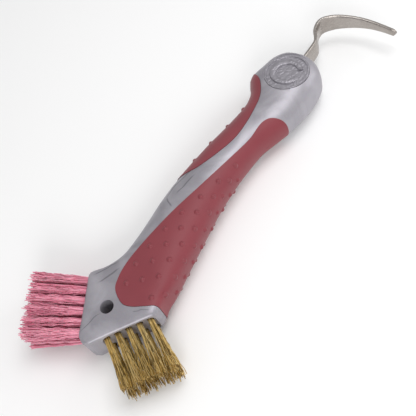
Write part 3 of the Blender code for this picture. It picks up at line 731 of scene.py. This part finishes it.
def bristle_tuft(name, routes, radius, chance):
    """A bundle of round filaments, each with its own tint and its share of length as attributes."""
    curve = bpy.data.curves.new(name, "CURVE")
    curve.dimensions = "3D"
    curve.bevel_depth = radius * MM
    curve.bevel_resolution = 0
    curve.use_fill_caps = True
    for route in routes:
        spline = curve.splines.new("POLY")
        spline.points.add(len(route) - 1)
        for spot, place in zip(spline.points, route):
            spot.co = (*place, 1)
    bundle = bpy.data.objects.new(name, curve)
    bpy.context.scene.collection.objects.link(bundle)
    bpy.context.view_layer.update()
    mesh = bpy.data.meshes.new_from_object(bundle.evaluated_get(bpy.context.evaluated_depsgraph_get()))
    bpy.data.objects.remove(bundle)
    tuft = bpy.data.objects.new(name, mesh)
    bpy.context.scene.collection.objects.link(tuft)
    mesh.shade_smooth()
    tint = mesh.attributes.new("tint", "FLOAT", "POINT")
    length = mesh.attributes.new("length_share", "FLOAT", "POINT")
    each = len(mesh.vertices) // len(routes)
    round_each = each // FILAMENT_POINTS
    for strand in range(len(routes)):
        own_tint = chance.random()
        for k in range(each):
            tint.data[strand * each + k].value = own_tint
            length.data[strand * each + k].value = min(1.0, k // round_each / (FILAMENT_POINTS - 1))
    return tuft


# Crimped nylon 6.12: rose pink monofilament of 0.4 mm, translucent, so it is soft in the shadows.
# Strands differ a little in tone, and shade is painted into the colour towards the root, where the bundle is
# dense.
pink_nylon, tree, shader, place = new_material("crimped_pink_nylon")
tint = add_node(tree, "ShaderNodeAttribute", attribute_name="tint")
share = add_node(tree, "ShaderNodeAttribute", attribute_name="length_share")
tone = add_node(tree, "ShaderNodeMix", {
    "Factor": tint.outputs["Fac"], 6: linear("#E0809A"), 7: linear("#FBB4C6")}, data_type="RGBA")
# Painted shade: the colour is darkened to 70 % at the root and comes up to full strength over the first two
# fifths of each filament.
depth = add_node(tree, "ShaderNodeMapRange", {
    "Value": share.outputs["Fac"], "From Min": 0.0, "From Max": 0.4, "To Min": 0.7, "To Max": 1.0})
tone_with_painted_root_shade = add_node(tree, "ShaderNodeMix", {
    "Factor": 1.0, 6: tone.outputs[2], 7: depth.outputs[0]}, data_type="RGBA", blend_type="MULTIPLY")
tree.links.new(tone_with_painted_root_shade.outputs[2], shader.inputs["Base Color"])
shader.inputs["Roughness"].default_value = 0.42
shader.inputs["IOR"].default_value = 1.53
shader.inputs["Subsurface Weight"].default_value = 0.15
shader.inputs["Subsurface Radius"].default_value = (0.0006, 0.0002, 0.0003)

# Brass wire: crimped, yellow-brown with an oxide film, and dark brown where the ends were sheared.
brass_wire, tree, shader, place = new_material("crimped_brass_wire")
tint = add_node(tree, "ShaderNodeAttribute", attribute_name="tint")
share = add_node(tree, "ShaderNodeAttribute", attribute_name="length_share")
tone = add_node(tree, "ShaderNodeMix", {
    "Factor": tint.outputs["Fac"], 6: linear("#C9A453"), 7: linear("#F4DC9E")}, data_type="RGBA")
ends = add_node(tree, "ShaderNodeMapRange", {
    "Value": share.outputs["Fac"], "From Min": 0.86, "From Max": 1.0, "To Min": 0.0, "To Max": 0.75})
sheared = add_node(tree, "ShaderNodeMix", {
    "Factor": ends.outputs[0], 6: tone.outputs[2], 7: linear("#5A3F16")}, data_type="RGBA")
tree.links.new(sheared.outputs[2], shader.inputs["Base Color"])
shader.inputs["Metallic"].default_value = 0.75
shader.inputs["Roughness"].default_value = 0.36

for bed, material, outwards in ((NYLON, pink_nylon, 1), (BRASS, brass_wire, -1)):
    chance = random.Random(bed["seed"])
    cut_bed(bed, outwards)
    for number, (point, out, side, row) in enumerate(tuft_frames(bed), 1):
        routes = [filament_route(bed, chance, point, out, side, row) for _ in range(bed["filaments"])]
        name = f"{bed['node']}_tuft_{number:02d}"
        tuft = bristle_tuft(f"{name}_filaments", routes, bed["radius"], chance)
        stand_for(tuft, material, bed["slot"], name)

# Staple wire: zinc-coated flat steel, hidden under the folds of the tufts.
staple_steel, tree, shader, place = new_material("zinc_coated_staple_wire")
spangle = add_node(tree, "ShaderNodeTexVoronoi", {"Vector": place, "Scale": 1 / 0.0008})
tone = add_node(tree, "ShaderNodeMix", {
    "Factor": spangle.outputs["Distance"], 6: linear("#A8AAAC"), 7: linear("#86888A")}, data_type="RGBA")
tree.links.new(tone.outputs[2], shader.inputs["Base Color"])
shader.inputs["Metallic"].default_value = 1.0
shader.inputs["Roughness"].default_value = 0.4
for name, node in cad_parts.items():
    if "_anchor_" in name:
        node.data.materials.clear()
        node.data.materials.append(staple_steel)

# The handle is finished last, when every seat and hole has been cut.
shade(handle, 32)
stand_for(handle, silver_abs, "silver_plastic", "handle_body")

# --- Studio ---------------------------------------------------------------------------------------
# The tool lies on a plain white table under large, soft lights.
table_paint, tree, shader, place = new_material("white_table_lacquer")
cloud = add_node(tree, "ShaderNodeTexNoise", {"Vector": place, "Scale": 2.0, "Detail": 2})
tone = add_node(tree, "ShaderNodeMix", {
    "Factor": cloud.outputs["Fac"], 6: linear("#F6F6F6"), 7: linear("#F9F9F9")}, data_type="RGBA")
tree.links.new(tone.outputs[2], shader.inputs["Base Color"])
shader.inputs["Roughness"].default_value = 0.85
bm = bmesh.new()
bmesh.ops.create_grid(bm, x_segments=2, y_segments=2, size=3.0)
mesh = bpy.data.meshes.new("table")
bm.to_mesh(mesh)
bm.free()
table = bpy.data.objects.new("table", mesh)
table.data.materials.append(table_paint)
bpy.context.scene.collection.objects.link(table)

world = bpy.data.worlds.new("studio")
world.use_nodes = True
world.node_tree.nodes["Background"].inputs["Color"].default_value = (1, 1, 1, 1)
world.node_tree.nodes["Background"].inputs["Strength"].default_value = 0.52
bpy.context.scene.world = world
bpy.context.scene.view_settings.view_transform = "Standard"


def softbox(name, position, target, size, power):
    """A square area light that faces its target."""
    light = bpy.data.lights.new(name, "AREA")
    light.size = size
    light.energy = power
    lamp = bpy.data.objects.new(name, light)
    lamp.location = position
    lamp.rotation_euler = (Vector(target) - Vector(position)).to_track_quat("-Z", "Y").to_euler()
    bpy.context.scene.collection.objects.link(lamp)


softbox("overhead_softbox", (0.25, -0.1, 0.75), (0.0, 0.0, 0.0), 0.5, 2.7)
softbox("front_softbox", (-0.52, -0.5, 0.38), (-0.04, 0.0, 0.0), 0.3, 2.2)
softbox("side_softbox", (0.55, -0.45, 0.3), (0.03, 0.0, 0.0), 0.35, 0.9)

# The camera looks down on the tool from the brush end.
camera_data = bpy.data.cameras.new("camera")
camera_data.sensor_width = 36.0
camera_data.lens = 53.2
camera_data.clip_start = 0.01
camera = bpy.data.objects.new("camera", camera_data)
right = Vector((0.54747, -0.79691, -0.25535))
up = Vector((0.76824, 0.35767, 0.53089))
back = right.cross(up)
turn = Matrix((right, up, back)).transposed().to_4x4()
spot = to_frame @ Vector((-95.9, -140.7, 233.5))
camera.matrix_world = Matrix.Translation(spot) @ turn
bpy.context.scene.collection.objects.link(camera)
bpy.context.scene.camera = camera
